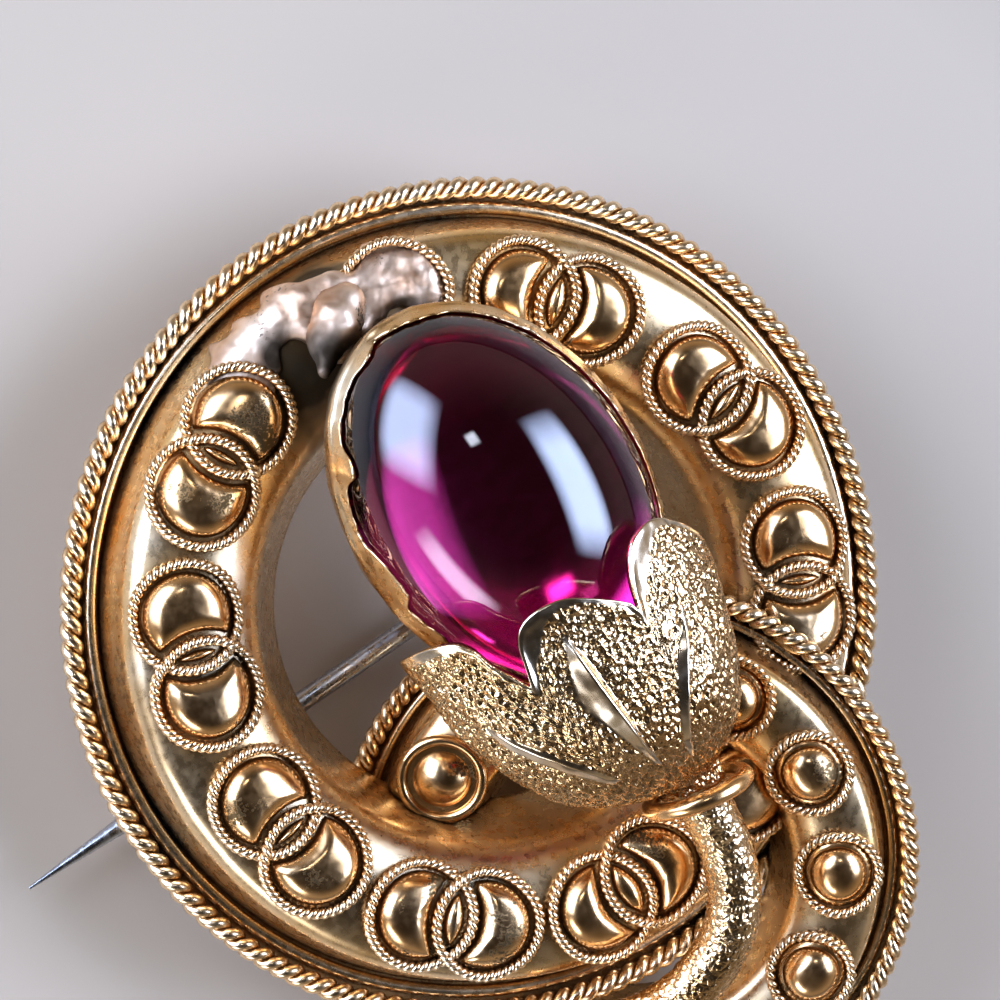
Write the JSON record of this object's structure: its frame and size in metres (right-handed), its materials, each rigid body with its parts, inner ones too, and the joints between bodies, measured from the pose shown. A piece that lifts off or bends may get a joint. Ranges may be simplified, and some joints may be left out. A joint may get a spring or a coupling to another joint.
{
  "type": "garnet brooch",
  "caption": "Gold knot brooch of two linked hollow rings with wirework bosses, a garnet cabochon flower bud, stem, hinged pin and catch.",
  "frame": {"origin": "on the closed pin's axis, behind the middle of the large ring", "axes": "+X along the pin towards its hinge, +Y up as worn, towards the bud's tip, +Z out of the face"},
  "size_m": [0.0342, 0.037, 0.015],
  "materials": {
    "gold": "warm rose-yellow gold, polished on the high places, with brown tarnish in the corners",
    "granulated_gold": "gold with a fine pricked and granulated texture",
    "garnet": "polished deep purple-red garnet",
    "solder": "dull pinkish-grey solder, lumpy and stained",
    "steel": "bright drawn steel wire"
  },
  "bodies": {
    "root": {"bezel": "gold", "calyx": "granulated_gold", "catch": "gold", "collar": "gold", "garnet": "garnet", "hinge": "gold", "large_border_rope": "gold", "large_boss_pair_1": "gold", "large_boss_pair_10": "gold", "large_boss_pair_2": "gold", "large_boss_pair_4": "gold", "large_boss_pair_5": "gold", "large_boss_pair_6": "gold", "large_boss_pair_7": "gold", "large_boss_pair_8": "gold", "large_boss_pair_9": "gold", "large_inner_wire": "gold", "large_ring": "gold", "repair_solder": "solder", "small_border_rope": "gold", "small_boss_1": "gold", "small_boss_10": "gold", "small_boss_11": "gold", "small_boss_12": "gold", "small_boss_2": "gold", "small_boss_3": "gold", "small_boss_4": "gold", "small_boss_5": "gold", "small_boss_8": "gold", "small_boss_9": "gold", "small_inner_wire": "gold", "small_ring": "gold", "stem": "granulated_gold"},
    "pin_arm": {"pin": "steel"}
  },
  "joints": [
    {"name": "pin_hinge", "type": "hinge", "parent": "root", "child": "pin_arm", "pos_m": [0.0126, 0, 0], "axis": [0, -0.9063, 0.4226], "range_deg": [0, 75]}
  ]
}
